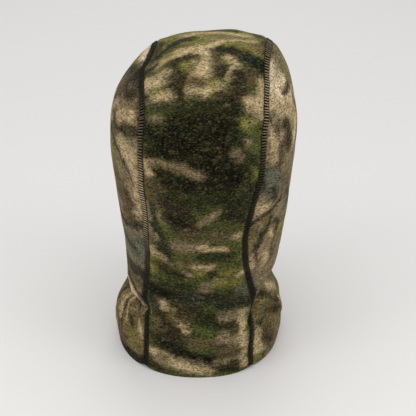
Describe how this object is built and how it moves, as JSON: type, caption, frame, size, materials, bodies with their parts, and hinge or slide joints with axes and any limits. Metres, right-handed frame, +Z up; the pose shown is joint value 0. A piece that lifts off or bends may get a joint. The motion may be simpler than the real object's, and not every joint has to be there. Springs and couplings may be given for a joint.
{
  "type": "fleece face mask",
  "caption": "Pull-on fleece hood that covers head, face and neck, sewn from a crown panel and side panels with ladder-stitched seams, with a bound eye opening.",
  "frame": {"origin": "bottom centre of the whole part's box, on the floor that the hem stands on", "axes": "+Z up from the hem to the crown, -Y out of the eye opening, the way the wearer faces, +X the wearer's left"},
  "size_m": [0.178, 0.2114, 0.328],
  "materials": {
    "camo_fleece": "napped, matte",
    "binding_knit": "fine knit, matte",
    "elastic_cord": "braided, matte",
    "seam_thread": "slight sheen",
    "label_satin": "satin"
  },
  "bodies": {
    "root": {"crown_panel": "camo_fleece", "left_side_panel": "camo_fleece", "right_side_panel": "camo_fleece", "left_seam_outer_thread": "seam_thread", "left_seam_inner_thread": "seam_thread", "right_seam_outer_thread": "seam_thread", "right_seam_inner_thread": "seam_thread", "front_seam_outer_thread": "seam_thread", "front_seam_inner_thread": "seam_thread", "eye_opening_binding": "binding_knit", "eye_opening_elastic": "elastic_cord", "binding_outer_stitch": "seam_thread", "binding_inner_stitch": "seam_thread", "care_label": "label_satin", "care_label_stitch": "seam_thread"}
  },
  "joints": []
}
